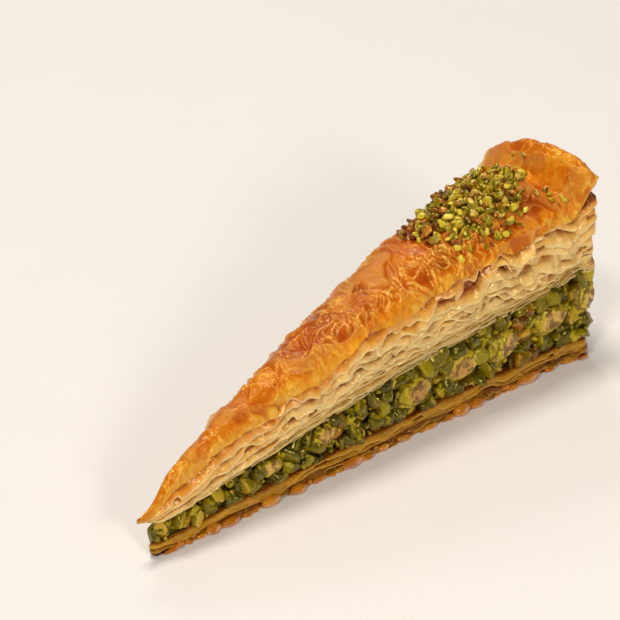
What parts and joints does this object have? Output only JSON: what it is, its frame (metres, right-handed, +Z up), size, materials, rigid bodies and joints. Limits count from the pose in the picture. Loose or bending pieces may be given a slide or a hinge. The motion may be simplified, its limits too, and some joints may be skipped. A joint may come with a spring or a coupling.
{
  "type": "baklava piece",
  "caption": "Long wedge of flaky baklava cut from a round tray: thin syrup-soaked base, chopped pistachio filling with whole kernels, tall layered pastry on top and a heap of ground nuts.",
  "frame": {"origin": "middle of the slice's outer box, on the plate it lies on", "axes": "+X from the tip of the wedge to its rim end, +Y across the slice, +Z up"},
  "size_m": [0.1646, 0.0414, 0.0613],
  "materials": {
    "lower_pastry": "syrup-soaked pastry, amber and wet",
    "filling": "chopped pistachio bound with syrup",
    "kernel": "whole pistachio kernel, moist",
    "upper_pastry": "thin baked leaves, golden and glazed with butter",
    "garnish": "ground pistachio, dry"
  },
  "bodies": {
    "root": {"lower_pastry": "lower_pastry", "pistachio_filling": "filling", "kernel_near_1": "kernel", "kernel_near_2": "kernel", "kernel_near_3": "kernel", "kernel_near_4": "kernel", "kernel_near_5": "kernel", "kernel_near_6": "kernel", "kernel_near_7": "kernel", "kernel_far_1": "kernel", "kernel_far_2": "kernel", "kernel_far_3": "kernel", "kernel_far_4": "kernel", "upper_pastry": "upper_pastry", "pistachio_garnish": "garnish"}
  },
  "joints": []
}
